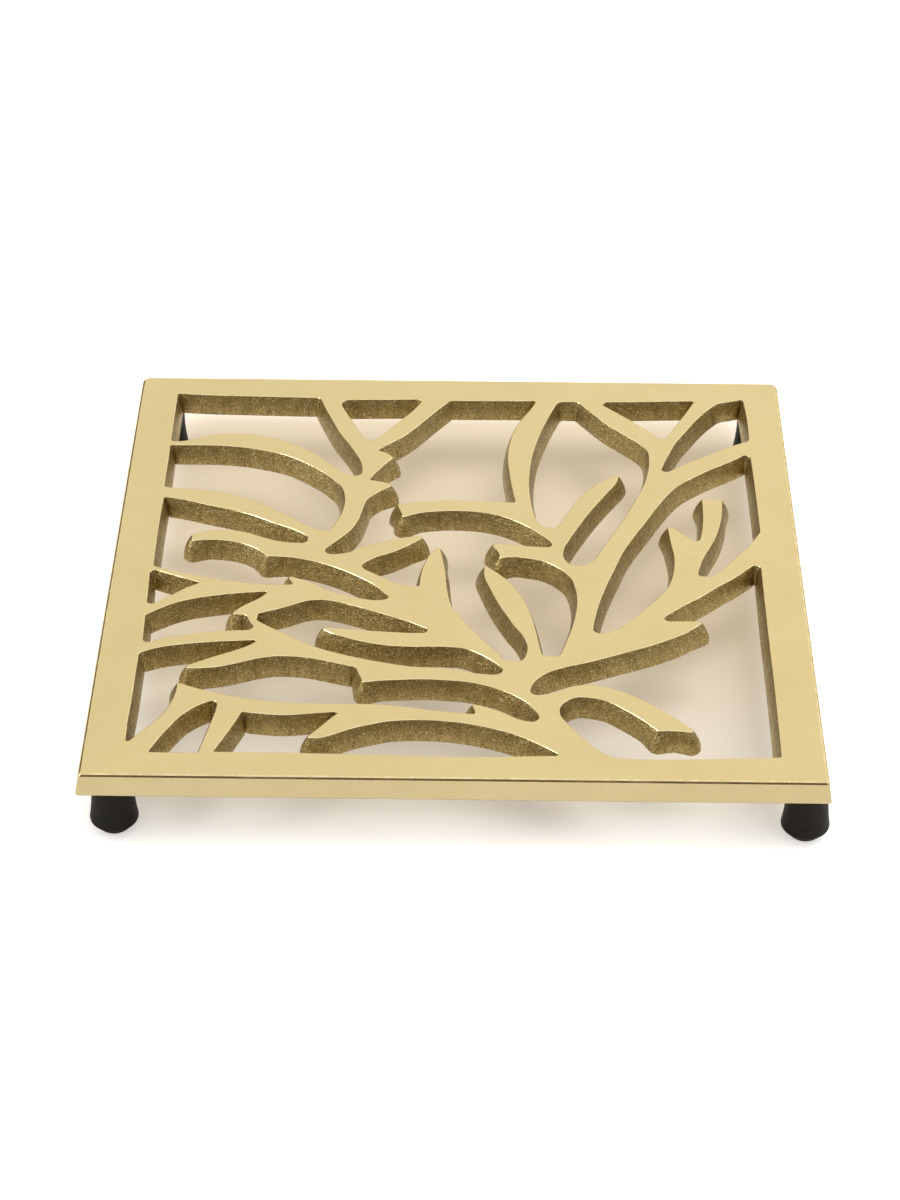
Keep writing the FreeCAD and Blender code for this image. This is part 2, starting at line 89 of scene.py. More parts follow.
class Nodes:
    """A tree of shader nodes, with a short way to add each kind that is used here."""

    def __init__(self, owner: bpy.types.Material | bpy.types.World) -> None:
        """Start with an empty tree.

        Args:
            owner: The material or the world that has the tree.
        """
        owner.use_nodes = True
        self.tree = owner.node_tree
        self.tree.nodes.clear()

    def put(self, target: Socket, value: object) -> None:
        """Link a socket to a target socket, or set a plain value on it.

        Args:
            target: The input that takes the value.
            value: An output socket, a number, or a row of three numbers.
        """
        if isinstance(value, Socket):
            self.tree.links.new(value, target)
        else:
            target.default_value = (*value, 1.0) if target.type == "RGBA" else value

    def add(self, kind: str, inputs: dict[str | int, object], **settings: str) -> bpy.types.Node:
        """Add a node.

        Args:
            kind: The node's type, without its usual prefix.
            inputs: What goes into each input.
            settings: The node's own settings.

        Returns:
            The node.
        """
        node = self.tree.nodes.new(f"ShaderNode{kind}")
        for name, value in settings.items():
            setattr(node, name, value)
        for name, value in inputs.items():
            self.put(node.inputs[name], value)
        return node

    def axes(self, place: str) -> bpy.types.bpy_prop_collection:
        """Return the parts along X, Y and Z of a kind of coordinates."""
        return self.add("SeparateXYZ", {0: self.add("TexCoord", {}).outputs[place]}).outputs

    def math(self, operation: str, *values: object) -> Socket:
        """Return what a Math node makes of some numbers or sockets."""
        return self.add("Math", dict(enumerate(values)), operation=operation).outputs[0]

    def ramp(self, value: Socket, low: float, high: float, to_low: float = 0.0,
             to_high: float = 1.0, kind: str = "SMOOTHSTEP") -> Socket:
        """Map one span of a value to another.

        Args:
            value: The socket that is mapped.
            low: The value that becomes to_low.
            high: The value that becomes to_high.
            to_low: The result at the low end.
            to_high: The result at the high end.
            kind: How the result runs between the two.

        Returns:
            The mapped value.
        """
        inputs = {"Value": value, "From Min": low, "From Max": high,
                  "To Min": to_low, "To Max": to_high}
        return self.add("MapRange", inputs, interpolation_type=kind).outputs["Result"]

    def blend(self, factor: object, first: object, second: object) -> Socket:
        """Return a mix of two colours or sockets, where the factor is the second's share."""
        inputs = {"Factor": factor, "A": first, "B": second}
        return self.add("Mix", inputs, data_type="RGBA").outputs["Result"]

    def mixed(self, share: Socket, first: bpy.types.Node, second: bpy.types.Node) -> Socket:
        """Return a mix of two surfaces, where share is the second's."""
        inputs = {"Fac": share, 1: first.outputs[0], 2: second.outputs[0]}
        return self.add("MixShader", inputs).outputs[0]

    def seen_by(self, *kinds: str) -> Socket:
        """Return a socket that is 1 for rays of the given kinds.

        Args:
            kinds: Outputs of the Light Path node.

        Returns:
            The socket.
        """
        path = self.add("LightPath", {})
        total = path.outputs[kinds[0]]
        for name in kinds[1:]:
            total = self.math("MAXIMUM", total, path.outputs[name])
        return total


class Graph(Nodes):
    """The nodes of one finish, around a Principled surface."""

    def __init__(self, name: str) -> None:
        """Start an empty material.

        Args:
            name: The material's name.
        """
        self.material = bpy.data.materials.new(name)
        super().__init__(self.material)
        self.surface = self.add("BsdfPrincipled", {})
        self.add("OutputMaterial", {"Surface": self.surface.outputs["BSDF"]})

    def dress(self, name: str, value: object) -> None:
        """Set one socket of the surface, or link it."""
        self.put(self.surface.inputs[name], value)

    def total(self, *terms: tuple[Socket, float]) -> Socket:
        """Return the sum of some sockets.

        Args:
            terms: The sockets, each with its share.

        Returns:
            The sum.
        """
        parts = [self.math("MULTIPLY", value, share) for value, share in terms]
        found = parts.pop()
        for part in reversed(parts):
            found = self.math("ADD", part, found)
        return found

    def noise(self, scale: float, detail: float, roughness: float,
              stretch: Triple = (1.0, 1.0, 1.0)) -> Socket:
        """Add a Noise texture on object coordinates.

        Args:
            scale: Features in a metre.
            detail: Octaves.
            roughness: Strength of the fine octaves.
            stretch: Scale of the pattern along each axis.

        Returns:
            The noise from 0 to 1.
        """
        place = self.add("TexCoord", {}).outputs["Object"]
        mapping = self.add("Mapping", {"Vector": place, "Scale": stretch})
        inputs = {"Vector": mapping.outputs["Vector"], "Scale": scale, "Detail": detail,
                  "Roughness": roughness}
        return self.add("TexNoise", inputs).outputs["Fac"]

    def bump(self, height: Socket, distance: float, strength: float) -> None:
        """Lay a Bump node over the surface's normal.

        Args:
            height: The height from 0 to 1.
            distance: The depth of the relief in metres.
            strength: The strength of the relief.
        """
        node = self.add("Bump", {"Distance": distance, "Strength": strength, "Height": height})
        below = self.surface.inputs["Normal"]
        if below.is_linked:
            self.put(node.inputs["Normal"], below.links[0].from_socket)
        self.put(below, node.outputs["Normal"])


@dataclass(frozen=True)
class BrushedBrass:
    """Brass that was ground and brushed in straight lines."""

    name: str
    light: Colour = (0.745, 0.600, 0.296)
    deep: Colour = (0.700, 0.560, 0.272)
    across: Triple = (0.02, 1.0, 0.3)
    along: Triple = (1.0, 0.02, 0.3)
    side_border: Span = (0.0875, 0.0893)
    streaks: Grain = (1500.0, 3.0, 0.6)
    clouds: Grain = (38.0, 3.0, 0.55)
    wear: Grain = (110.0, 3.0, 0.55)
    cloud_share: float = 0.7
    streak_share: float = 0.45
    tones: Span = (0.35, 0.85)
    middle: Span = (0.3, 0.7)
    worn_by: Span = (-0.03, 0.03)
    roughness: Span = (0.27, 0.33)
    streak_relief: Relief = (0.012 * MM, 0.5)
    cloud_relief: Relief = (0.02 * MM, 0.4)

    def material(self) -> bpy.types.Material:
        """Return the finish as a material."""
        graph = Graph(self.name)
        graph.dress("Metallic", 1.0)
        side = graph.ramp(graph.math("ABSOLUTE", graph.axes("Object")["X"]), *self.side_border)
        lines = graph.blend(side, graph.noise(*self.streaks, self.across),
                            graph.noise(*self.streaks, self.along))
        clouds = graph.noise(*self.clouds)
        tone = graph.total((clouds, self.cloud_share), (lines, self.streak_share))
        graph.dress("Base Color", graph.blend(graph.ramp(tone, *self.tones),
                                              self.deep, self.light))
        worn = graph.ramp(graph.noise(*self.wear), *self.middle, *self.worn_by)
        graph.dress("Roughness", graph.math(
            "ADD", worn, graph.ramp(lines, *self.middle, *self.roughness)))
        graph.bump(lines, *self.streak_relief)
        graph.bump(clouds, *self.cloud_relief)
        return graph.material


@dataclass(frozen=True)
class PolishedBrass:
    """Brass whose edges were rounded over and left bright by the belt."""

    name: str
    light: Colour = (0.88, 0.745, 0.44)
    deep: Colour = (0.70, 0.56, 0.28)
    glancing: Colour = (0.70, 0.56, 0.32)
    wear: Grain = (300.0, 4.0, 0.6)
    middle: Span = (0.3, 0.7)
    roughness: Span = (0.26, 0.17)
    ripples: Grain = (500.0, 2.0, 0.5)
    ripple_relief: Relief = (0.05 * MM, 0.6)
    waves: Grain = (70.0, 2.0, 0.5)
    wave_relief: Relief = (1.0 * MM, 0.8)

    def material(self) -> bpy.types.Material:
        """Return the finish as a material."""
        graph = Graph(self.name)
        graph.dress("Metallic", 1.0)
        graph.dress("Specular Tint", self.glancing)
        wear = graph.noise(*self.wear)
        graph.dress("Base Color", graph.blend(graph.ramp(wear, *self.middle),
                                              self.deep, self.light))
        graph.dress("Roughness", graph.ramp(wear, *self.middle, *self.roughness))
        graph.bump(graph.noise(*self.ripples), *self.ripple_relief)
        graph.bump(graph.noise(*self.waves), *self.wave_relief)
        return graph.material


@dataclass(frozen=True)
class SandCastBrass:
    """Brass as it came from the sand mould, grainy, darker towards the top of the walls, with painted
    glints.
    """

    name: str
    high: Colour = (0.67, 0.510, 0.212)
    deep: Colour = (0.285, 0.205, 0.070)
    # The colour of the painted glints: bright specks that stand for light glittering off the grain.
    painted_glint: Colour = (0.98, 0.86, 0.54)
    sand: Grain = (2600.0, 2.0, 0.6)
    sand_share: float = 0.66
    drawn: Grain = (620.0, 2.0, 0.5)
    drawn_share: float = 0.20
    upright: Triple = (1.0, 1.0, 0.10)
    lumps: Grain = (250.0, 2.0, 0.5)
    lump_share: float = 0.14
    tones: Span = (0.38, 0.62)
    shaded: Span = (18.0 * MM, 23.4 * MM)
    shade: Span = (0.0, 0.74)
    # Where the painted glints fall, and how strongly they show.
    painted_glints: Grain = (2000.0, 3.0, 0.65)
    painted_glint_span: Span = (0.55, 0.68)
    painted_glint_strength: Span = (0.0, 0.8)
    middle: Span = (0.35, 0.65)
    roughness: Span = (0.52, 0.30)
    sand_relief: Relief = (0.22 * MM, 1.0)
    pits: Grain = (2000.0 / 2.6, 1.0, 0.5)
    pit_relief: Relief = (0.286 * MM, 0.8)
    lump_relief: Relief = (0.484 * MM, 0.7)

    def material(self) -> bpy.types.Material:
        """Return the finish as a material."""
        graph = Graph(self.name)
        graph.dress("Metallic", 1.0)
        sand = graph.noise(*self.sand)
        lumps = graph.noise(*self.lumps)
        tone = graph.total((sand, self.sand_share),
                           (graph.noise(*self.drawn, self.upright), self.drawn_share),
                           (lumps, self.lump_share))
        raw = graph.blend(graph.ramp(tone, *self.tones), self.deep, self.high)
        shade = graph.ramp(graph.axes("Object")["Z"], *self.shaded, *self.shade)
        # Painted glints: bright specks of painted highlight mixed over the colour.
        painted_glints = graph.ramp(graph.noise(*self.painted_glints), *self.painted_glint_span, *self.painted_glint_strength)
        graph.dress("Base Color", graph.blend(painted_glints, graph.blend(shade, raw, self.deep),
                                              self.painted_glint))
        graph.dress("Roughness", graph.ramp(sand, *self.middle, *self.roughness))
        graph.bump(sand, *self.sand_relief)
        graph.bump(graph.noise(*self.pits), *self.pit_relief)
        graph.bump(lumps, *self.lump_relief)
        return graph.material


@dataclass(frozen=True)
class BlackRubber:
    """Moulded black rubber, matte, with a little dust."""

    name: str
    base: Colour = (0.010, 0.008, 0.006)
    dusty: Colour = (0.020, 0.017, 0.013)
    shine: float = 0.22
    dust: Grain = (500.0, 4.0, 0.6)
    dusted: Span = (0.4, 0.75)
    middle: Span = (0.3, 0.7)
    roughness: Span = (0.42, 0.62)
    skin: Grain = (3500.0, 2.0, 0.6)
    skin_relief: Relief = (0.03 * MM, 0.4)

    def material(self) -> bpy.types.Material:
        """Return the finish as a material."""
        graph = Graph(self.name)
        graph.dress("Specular IOR Level", self.shine)
        dust = graph.noise(*self.dust)
        graph.dress("Base Color", graph.blend(graph.ramp(dust, *self.dusted),
                                              self.base, self.dusty))
        graph.dress("Roughness", graph.ramp(dust, *self.middle, *self.roughness))
        graph.bump(graph.noise(*self.skin), *self.skin_relief)
        return graph.material


def standing(name: str, shape: bmesh.types.BMesh,
             materials: list[bpy.types.Material]) -> bpy.types.Object:
    """Put a shape into the scene as an object.

    Args:
        name: The object's name.
        shape: The shape, in place, which is used up.
        materials: The finishes of its faces.

    Returns:
        The object.
    """
    mesh = bpy.data.meshes.new(name)
    shape.to_mesh(mesh)
    shape.free()
    for material in materials:
        mesh.materials.append(material)
    piece = bpy.data.objects.new(name, mesh)
    bpy.context.scene.collection.objects.link(piece)
    return piece


def finished(name: str, shape: bmesh.types.BMesh, materials: list[bpy.types.Material]) -> bpy.types.Object:
    """Turn a shape into a piece of the trivet.

    Args:
        name: The piece's name.
        shape: The shape, in place, which is used up.
        materials: The finishes of its faces.

    Returns:
        The piece, riding on the trivet.
    """
    piece = standing(name, shape, materials)
    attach(piece, BODY)
    LOG.info("%s: %d faces", name, len(piece.data.polygons))
    return piece


class Round(Enum):
    """How round a corner of an opening is, as a radius in millimetres."""

    CRISP = 0.6
    SOFT = 1.5
    WIDE = 2.6


Share = tuple[float, float]
Run = tuple[Round | Share, ...]
CRISP, SOFT, WIDE = Round

# Each opening is a clockwise ring of runs. A run holds the roundness of its first corner, that
# corner, and the points which a smooth line passes on the way to the next corner. Points are
# shares of the window inside the rim, from the left and from the front.
OPENINGS: dict[str, list[Run]] = {
    "rear_left_pane": [
        (CRISP, (0.001, 1.011), (0.06, 1.0065), (0.13, 1.0045)),
        (SOFT, (0.2535, 1.0015), (0.27, 0.95), (0.294, 0.886), (0.3185, 0.834), (0.333, 0.793)),
        (WIDE, (0.334, 0.7455), (0.296, 0.7736), (0.265, 0.81), (0.22, 0.847), (0.17, 0.8725),
         (0.114, 0.883), (0.069, 0.877), (0.037, 0.862), (0.02, 0.8575)),
        (SOFT, (0.001, 0.856)),
    ],
    "rear_left_triangle": [
        (WIDE, (0.286, 0.9955), (0.36, 0.9975)),
        (SOFT, (0.438, 1.0005), (0.4154, 0.9575), (0.385, 0.911)),
        (WIDE, (0.3456, 0.8504), (0.3245, 0.899)),
    ],
    "central_opening": [
        (SOFT, (0.483, 0.9965), (0.544, 0.997)),
        (CRISP, (0.636, 0.998), (0.625, 0.97), (0.609, 0.937), (0.5954, 0.8986), (0.587, 0.854),
         (0.5843, 0.809), (0.587, 0.765), (0.5915, 0.72)),
        (CRISP, (0.597, 0.68), (0.5436, 0.681), (0.485, 0.684), (0.44, 0.68)),
        (CRISP, (0.3975, 0.6695), (0.4035, 0.651)),
        (CRISP, (0.408, 0.6335), (0.4314, 0.6445), (0.467, 0.652), (0.51, 0.6535),
         (0.5436, 0.649), (0.5757, 0.638), (0.606, 0.6186), (0.633, 0.5936), (0.649, 0.575)),
        (SOFT, (0.6585, 0.5495), (0.615, 0.5525), (0.584, 0.557)),
        (CRISP, (0.5565, 0.5575), (0.5655, 0.54)),
        (CRISP, (0.5708, 0.5178), (0.588, 0.522), (0.615, 0.518), (0.643, 0.5095), (0.668, 0.49),
         (0.683, 0.4695), (0.6915, 0.44), (0.6945, 0.403), (0.692, 0.367), (0.684, 0.3225),
         (0.674, 0.285)),
        (SOFT, (0.664, 0.2515)),
        (SOFT, (0.637, 0.2515), (0.6325, 0.28), (0.6266, 0.3225), (0.6175, 0.37),
         (0.6036, 0.4136), (0.5864, 0.4485), (0.5668, 0.475)),
        (CRISP, (0.546, 0.496), (0.5443, 0.47), (0.5525, 0.437), (0.566, 0.396), (0.5864, 0.3457),
         (0.607, 0.303), (0.6132, 0.277)),
        (SOFT, (0.606, 0.2395)),
        (WIDE, (0.579, 0.2395), (0.5614, 0.265), (0.5346, 0.3064), (0.508, 0.35), (0.493, 0.381),
         (0.4845, 0.427), (0.4805, 0.48)),
        (CRISP, (0.4705, 0.5485), (0.4564, 0.529), (0.447, 0.5)),
        (CRISP, (0.4395, 0.437), (0.4225, 0.4365), (0.399, 0.4457), (0.3734, 0.464)),
        (WIDE, (0.3384, 0.4904), (0.36, 0.512), (0.3957, 0.533), (0.4225, 0.555)),
        (CRISP, (0.445, 0.5775), (0.4136, 0.574), (0.378, 0.5605), (0.342, 0.5445),
         (0.3225, 0.53), (0.3064, 0.525)),
        (WIDE, (0.2697, 0.5245), (0.301, 0.565), (0.3225, 0.595), (0.3335, 0.624),
         (0.3404, 0.658), (0.3457, 0.683), (0.36, 0.7025)),
        (CRISP, (0.387, 0.7265), (0.378, 0.735), (0.366, 0.739)),
        (CRISP, (0.349, 0.7435), (0.3545, 0.758), (0.367, 0.7807), (0.3796, 0.802)),
        (CRISP, (0.387, 0.8125), (0.382, 0.821)),
        (CRISP, (0.36, 0.8345), (0.378, 0.855), (0.3957, 0.871), (0.4225, 0.905), (0.449, 0.946)),
    ],
    "bud_opening": [
        (WIDE, (0.6737, 0.997)),
        (WIDE, (0.7094, 0.997), (0.731, 0.963), (0.758, 0.9245), (0.791, 0.888), (0.8135, 0.862),
         (0.825, 0.84), (0.827, 0.8146), (0.8245, 0.7825), (0.8165, 0.741), (0.802, 0.697),
         (0.781, 0.64), (0.754, 0.579), (0.735, 0.536), (0.7215, 0.508), (0.7025, 0.498),
         (0.685, 0.504), (0.6752, 0.522), (0.6752, 0.542), (0.685, 0.572), (0.7025, 0.613),
         (0.724, 0.6596), (0.75, 0.7085), (0.768, 0.7425)),
        (CRISP, (0.7735, 0.769), (0.754, 0.754), (0.736, 0.737), (0.712, 0.706), (0.692, 0.667),
         (0.678, 0.6346)),
        (SOFT, (0.6659, 0.605), (0.652, 0.606), (0.64, 0.6135), (0.6315, 0.63), (0.6255, 0.66),
         (0.6205, 0.715), (0.6215, 0.775), (0.6257, 0.818), (0.634, 0.863), (0.649, 0.922)),
    ],
    "rear_right_triangle": [
        (SOFT, (0.7405, 0.9975), (0.816, 0.999), (0.879, 1.002)),
        (CRISP, (0.9155, 1.003), (0.895, 0.9575), (0.872, 0.9075)),
        (SOFT, (0.8548, 0.873), (0.825, 0.909), (0.7896, 0.9486)),
    ],
    "rear_right_sliver": [
        (CRISP, (1.0, 1.0095), (1.0027, 0.966), (1.0036, 0.913)),
        (SOFT, (1.003, 0.8765), (0.975, 0.861), (0.938, 0.836), (0.895, 0.806)),
        (SOFT, (0.8406, 0.7619), (0.85, 0.796), (0.861, 0.829), (0.875, 0.867), (0.895, 0.905),
         (0.916, 0.944), (0.937, 0.975), (0.954, 0.994), (0.977, 1.002)),
    ],
    "right_stalk_opening": [
        (SOFT, (1.002, 0.8415), (1.003, 0.765), (1.0036, 0.68)),
        (CRISP, (1.0035, 0.6), (0.9825, 0.5596), (0.955, 0.52), (0.933, 0.489)),
        (SOFT, (0.9165, 0.4715)),
        (SOFT, (0.8925, 0.4725), (0.904, 0.52), (0.927, 0.579), (0.939, 0.626)),
        (CRISP, (0.9448, 0.6955)),
        (CRISP, (0.9115, 0.6955), (0.911, 0.651), (0.908, 0.6096)),
        (SOFT, (0.9002, 0.5632), (0.877, 0.589)),
        (CRISP, (0.859, 0.6115)),
        (CRISP, (0.85, 0.6105), (0.853, 0.5686), (0.857, 0.524), (0.8557, 0.495), (0.8505, 0.464),
         (0.842, 0.437), (0.825, 0.409), (0.7986, 0.3716), (0.772, 0.3386), (0.75, 0.3195)),
        (WIDE, (0.7168, 0.3115), (0.723, 0.3564), (0.7325, 0.403), (0.7436, 0.444), (0.758, 0.49),
         (0.7735, 0.538), (0.793, 0.583), (0.8135, 0.6255), (0.8335, 0.6675), (0.8557, 0.7096),
         (0.8735, 0.7355), (0.8986, 0.7596), (0.9325, 0.787), (0.963, 0.809)),
    ],
    "lower_right_opening": [
        (SOFT, (0.9985, 0.521), (0.997, 0.35), (0.997, 0.166)),
        (CRISP, (0.9955, 0.004), (0.9414, 0.001), (0.879, -0.002), (0.8164, -0.004),
         (0.765, -0.003), (0.742, 0.0005), (0.724, 0.012), (0.697, 0.045), (0.675, 0.079),
         (0.663, 0.103), (0.663, 0.122), (0.6725, 0.1375), (0.691, 0.1475), (0.71, 0.1465),
         (0.738, 0.137), (0.763, 0.117)),
        (CRISP, (0.812, 0.0655), (0.838, 0.066)),
        (CRISP, (0.87, 0.0615), (0.8575, 0.077), (0.827, 0.11), (0.793, 0.14), (0.759, 0.163),
         (0.731, 0.1755), (0.704, 0.179), (0.68, 0.1735), (0.6507, 0.157)),
        (WIDE, (0.6165, 0.15), (0.623, 0.1845), (0.64, 0.206), (0.6686, 0.222), (0.704, 0.235),
         (0.7557, 0.2575), (0.813, 0.284), (0.859, 0.312)),
        (CRISP, (0.8965, 0.348), (0.867, 0.348)),
        (SOFT, (0.8225, 0.347), (0.861, 0.386), (0.897, 0.417), (0.928, 0.447), (0.949, 0.466)),
    ],
    "upper_left_opening": [
        (CRISP, (0.0015, 0.845), (0.0514, 0.8455), (0.087, 0.845), (0.123, 0.841), (0.1675, 0.83),
         (0.2125, 0.8115), (0.2496, 0.7835), (0.2825, 0.7505), (0.302, 0.7205), (0.309, 0.683),
         (0.306, 0.648), (0.2975, 0.615)),
        (WIDE, (0.2853, 0.5858), (0.2546, 0.6016), (0.219, 0.631), (0.185, 0.6575),
         (0.1496, 0.68), (0.114, 0.6965), (0.078, 0.7055), (0.0336, 0.7114)),
        (SOFT, (0.0015, 0.716), (0.0015, 0.78)),
    ],
    "left_leaf_opening": [
        (CRISP, (0.0035, 0.686), (0.039, 0.678), (0.087, 0.661), (0.123, 0.649), (0.1586, 0.633),
         (0.194, 0.612), (0.226, 0.595)),
        (SOFT, (0.2515, 0.5745)),
        (SOFT, (0.2515, 0.555), (0.2265, 0.5555), (0.203, 0.5596), (0.176, 0.5705), (0.15, 0.583),
         (0.129, 0.589), (0.103, 0.59), (0.08, 0.5855)),
        (CRISP, (0.0593, 0.5735)),
        (CRISP, (0.0597, 0.558), (0.087, 0.562), (0.114, 0.5603), (0.141, 0.5535),
         (0.1625, 0.542), (0.1785, 0.5285)),
        (CRISP, (0.1885, 0.5175), (0.221, 0.515), (0.2475, 0.509), (0.276, 0.499),
         (0.3064, 0.484), (0.3386, 0.462), (0.3655, 0.4395), (0.38, 0.4225)),
        (SOFT, (0.3935, 0.402), (0.37, 0.3965), (0.3457, 0.401), (0.3207, 0.409), (0.2905, 0.423),
         (0.262, 0.4435)),
        (CRISP, (0.2225, 0.462), (0.23, 0.448)),
        (CRISP, (0.2345, 0.4375), (0.1996, 0.4364), (0.15, 0.442), (0.105, 0.452), (0.06, 0.4645)),
        (SOFT, (0.003, 0.4855), (0.002, 0.56)),
    ],
    "left_small_triangle": [
        (SOFT, (-0.0015, 0.4785), (0.03, 0.4645), (0.0568, 0.452)),
        (CRISP, (0.084, 0.44), (0.06, 0.4234), (0.035, 0.4005)),
        (SOFT, (0.0015, 0.3705)),
    ],
    "lower_left_leaf_opening": [
        (SOFT, (0.0015, 0.35), (0.0264, 0.37), (0.0514, 0.386), (0.08, 0.3975), (0.112, 0.4055),
         (0.15, 0.413)),
        (CRISP, (0.196, 0.4175), (0.1785, 0.3955), (0.1586, 0.379)),
        (CRISP, (0.1405, 0.3565)),
        (SOFT, (0.164, 0.353), (0.1695, 0.337)),
        (SOFT, (0.1865, 0.312), (0.141, 0.3105), (0.105, 0.3055), (0.069, 0.298), (0.0336, 0.287)),
        (SOFT, (0.004, 0.2705)),
    ],
    "lower_left_opening": [
        (SOFT, (0.0003, 0.249), (0.03, 0.2637), (0.0657, 0.2732), (0.105, 0.2795), (0.15, 0.284)),
        (CRISP, (0.188, 0.2865), (0.1675, 0.268), (0.15, 0.2575), (0.116, 0.2395)),
        (CRISP, (0.0725, 0.213), (0.096, 0.2116), (0.128, 0.2157), (0.1586, 0.2264),
         (0.185, 0.237), (0.212, 0.2443), (0.241, 0.2448), (0.271, 0.2407), (0.3064, 0.23)),
        (CRISP, (0.343, 0.2185)),
        (CRISP, (0.356, 0.1805), (0.378, 0.184), (0.4136, 0.187), (0.449, 0.1895),
         (0.485, 0.1875), (0.5257, 0.182), (0.5614, 0.169), (0.59, 0.152), (0.6096, 0.1345),
         (0.6225, 0.116)),
        (WIDE, (0.633, 0.085), (0.611, 0.086), (0.597, 0.0916), (0.5757, 0.105), (0.5436, 0.122)),
        (CRISP, (0.5245, 0.1285), (0.53, 0.114)),
        (CRISP, (0.532, 0.102), (0.508, 0.1045), (0.4636, 0.111), (0.4225, 0.119), (0.378, 0.124),
         (0.324, 0.1245), (0.262, 0.125), (0.212, 0.1286), (0.1586, 0.14), (0.1123, 0.1546),
         (0.0907, 0.163)),
        (CRISP, (0.067, 0.1745), (0.0666, 0.153), (0.062, 0.126), (0.053, 0.098), (0.037, 0.07),
         (0.0193, 0.0465)),
        (CRISP, (0.001, 0.02), (-0.001, 0.0586), (0.0, 0.13), (0.0003, 0.19)),
    ],
    "middle_leaf_opening": [
        (CRISP, (0.1825, 0.3575), (0.203, 0.366), (0.23, 0.378), (0.254, 0.3915), (0.28, 0.3965),
         (0.3064, 0.392), (0.342, 0.378), (0.378, 0.362), (0.4136, 0.345), (0.435, 0.3335)),
        (SOFT, (0.469, 0.3105), (0.4225, 0.3095), (0.387, 0.312), (0.342, 0.316), (0.3064, 0.32)),
        (CRISP, (0.282, 0.3235), (0.2975, 0.31), (0.328, 0.295), (0.3564, 0.284), (0.392, 0.276),
         (0.4314, 0.2734), (0.488, 0.2738), (0.515, 0.2695), (0.54, 0.2545), (0.5614, 0.235)),
        (WIDE, (0.583, 0.2025), (0.558, 0.2025), (0.5345, 0.2052), (0.508, 0.2125),
         (0.4725, 0.2187), (0.4314, 0.221), (0.3957, 0.2286), (0.36, 0.2382), (0.324, 0.25),
         (0.292, 0.2627), (0.262, 0.279), (0.23, 0.302), (0.2, 0.3235)),
        (SOFT, (0.18, 0.34)),
    ],
    "front_left_sliver": [
        (CRISP, (0.0365, 0.0005), (0.045, 0.023), (0.063, 0.062), (0.0836, 0.097),
         (0.105, 0.1175)),
        (SOFT, (0.133, 0.133), (0.132, 0.107), (0.1275, 0.08), (0.1195, 0.0375)),
        (CRISP, (0.112, -0.0005)),
    ],
    "front_opening": [
        (CRISP, (0.1345, 0.003), (0.155, 0.055)),
        (CRISP, (0.1725, 0.1025), (0.203, 0.0975), (0.239, 0.095), (0.271, 0.0987),
         (0.299, 0.1025)),
        (CRISP, (0.324, 0.1045), (0.3125, 0.0915), (0.2957, 0.068)),
        (CRISP, (0.275, 0.041), (0.293, 0.0403), (0.3154, 0.049), (0.342, 0.063), (0.3707, 0.074),
         (0.3957, 0.082), (0.4225, 0.0855), (0.458, 0.0862), (0.508, 0.081), (0.5614, 0.0657),
         (0.6007, 0.0485), (0.6257, 0.0327)),
        (CRISP, (0.662, 0.0025), (0.615, 0.0005), (0.5614, -0.002), (0.5, -0.0025),
         (0.378, 0.0005), (0.267, 0.0022)),
    ],
}

# The most of a run that a rounded corner takes, and the degrees of a corner to each step
LONGEST_CORNER_SHARE = 0.45
CORNER_STEP = 13


def of_kind(items: list, kind: type) -> list:
    """Return the vertices, edges or faces among some parts of a shape."""
    return [item for item in items if isinstance(item, kind)]


def smooth_chain(points: list[Vector], pitch: float) -> list[Vector]:
    """Follow a smooth line through a run's points.

    Args:
        points: The points from one corner to the next.
        pitch: How far apart the result's points may be.

    Returns:
        Close points on the line, both corners among them.
    """
    lengths = [(after - before).length for before, after in zip(points, points[1:])]
    slopes = [(after - before) / length
              for before, after, length in zip(points, points[1:], lengths)]
    inner = [(slopes[i] * lengths[i + 1] + slopes[i + 1] * lengths[i])
             / (lengths[i] + lengths[i + 1]) for i in range(len(slopes) - 1)]
    first = 2 * slopes[0] - inner[0] if inner else slopes[0]
    last = 2 * slopes[-1] - inner[-1] if inner else slopes[0]
    tangents = [first, *inner, last]
    chain = []
    for index, length in enumerate(lengths):
        start, end = points[index], points[index + 1]
        count = max(math.ceil(length / pitch), 2) + 1
        chain += interpolate_bezier(start, start + tangents[index] * length / 3,
                                    end - tangents[index + 1] * length / 3, end, count)[:-1]
    return chain + [points[-1]]


def chain_length(chain: list[Vector]) -> float:
    """Return the length of a chain of points."""
    return sum((after - before).length for before, after in zip(chain, chain[1:]))


def chain_point(chain: list[Vector], distance: float) -> Vector:
    """Return the point that lies a distance along a chain of points."""
    for before, after in zip(chain, chain[1:]):
        length = (after - before).length
        if distance <= length:
            return before.lerp(after, distance / length)
        distance -= length
    return chain[-1].copy()


